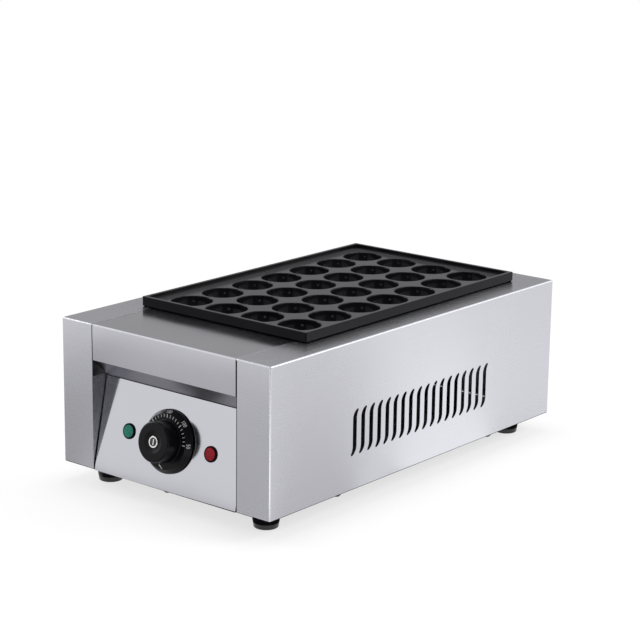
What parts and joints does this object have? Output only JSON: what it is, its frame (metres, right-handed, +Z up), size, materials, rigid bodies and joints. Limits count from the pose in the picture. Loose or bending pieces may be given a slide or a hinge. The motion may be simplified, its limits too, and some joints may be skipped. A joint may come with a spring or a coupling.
{
  "type": "takoyaki maker",
  "caption": "Electric countertop griddle for round dumplings: a folded steel box with vented sides, a thermostat knob and indicator lamps carries a lift-off cast plate of half-round cups.",
  "frame": {"origin": "on the surface that the feet stand on, under the middle of the part's box", "axes": "+Z up, +X to the right seen from the front, +Y from the control panel to the back"},
  "size_m": [0.259, 0.4746, 0.171],
  "materials": {
    "stainless": "satin folded stainless sheet",
    "stainless_inner": "mill-finish sheet inside the housing",
    "nonstick": "cast, with a black non-stick coating",
    "black_plastic": "moulded black, semi-gloss",
    "matte_black": "moulded black, matt",
    "feet_rubber": "black rubber",
    "seal_rubber": "black rubber",
    "bright_ring": "bright ring",
    "green_lens": "translucent green",
    "red_lens": "translucent red",
    "plated_steel": "plated screws, nuts and shaft",
    "heater_sheath": "heat-tinted sheath",
    "copper": "bare copper",
    "ceramic": "white glazed ceramic"
  },
  "bodies": {
    "housing": {"side_panel_left": "stainless", "side_panel_right": "stainless", "front_cover": "stainless", "rear_deck": "stainless", "rear_cover": "stainless", "control_panel": "stainless", "base_plate": "stainless_inner", "bulkhead": "stainless_inner", "reflector_tray": "stainless_inner", "reflector_stand_front": "stainless_inner", "reflector_stand_rear": "stainless_inner", "heater_bracket_front": "stainless_inner", "heater_bracket_rear": "stainless_inner", "foot_front_left": "feet_rubber", "foot_front_right": "feet_rubber", "foot_rear_left": "feet_rubber", "foot_rear_right": "feet_rubber", "foot_screws": "plated_steel", "foot_nuts": "plated_steel", "base_screws": "plated_steel", "rear_screws": "plated_steel", "thermostat_screws": "plated_steel", "terminal_screws": "plated_steel", "heater_terminals": "plated_steel", "heater_left": "heater_sheath", "heater_right": "heater_sheath", "capillary_tube": "copper", "thermostat_bulb": "copper", "lamp_green_body": "black_plastic", "lamp_red_body": "black_plastic", "lamp_green_nut": "matte_black", "lamp_red_nut": "matte_black", "gland_body": "matte_black", "gland_locknut": "matte_black", "gland_dome_nut": "matte_black", "thermostat_body": "matte_black", "lamp_green_lens": "green_lens", "lamp_red_lens": "red_lens", "gland_seal": "seal_rubber", "terminal_block": "ceramic"},
    "control_knob": {"knob": "black_plastic", "knob_ring": "bright_ring", "thermostat_shaft": "plated_steel"},
    "cooking_plate": {"baking_plate": "nonstick"}
  },
  "joints": [
    {"name": "knob_turn", "type": "hinge", "parent": "housing", "child": "control_knob", "pos_m": [0, -0.21152, 0.06401], "axis": [0, 0.9785, -0.2062], "range_deg": [0, 285]},
    {"name": "plate_lift", "type": "slide", "parent": "housing", "child": "cooking_plate", "axis": [0, 0, 1], "range_m": [0, 0.06]}
  ]
}
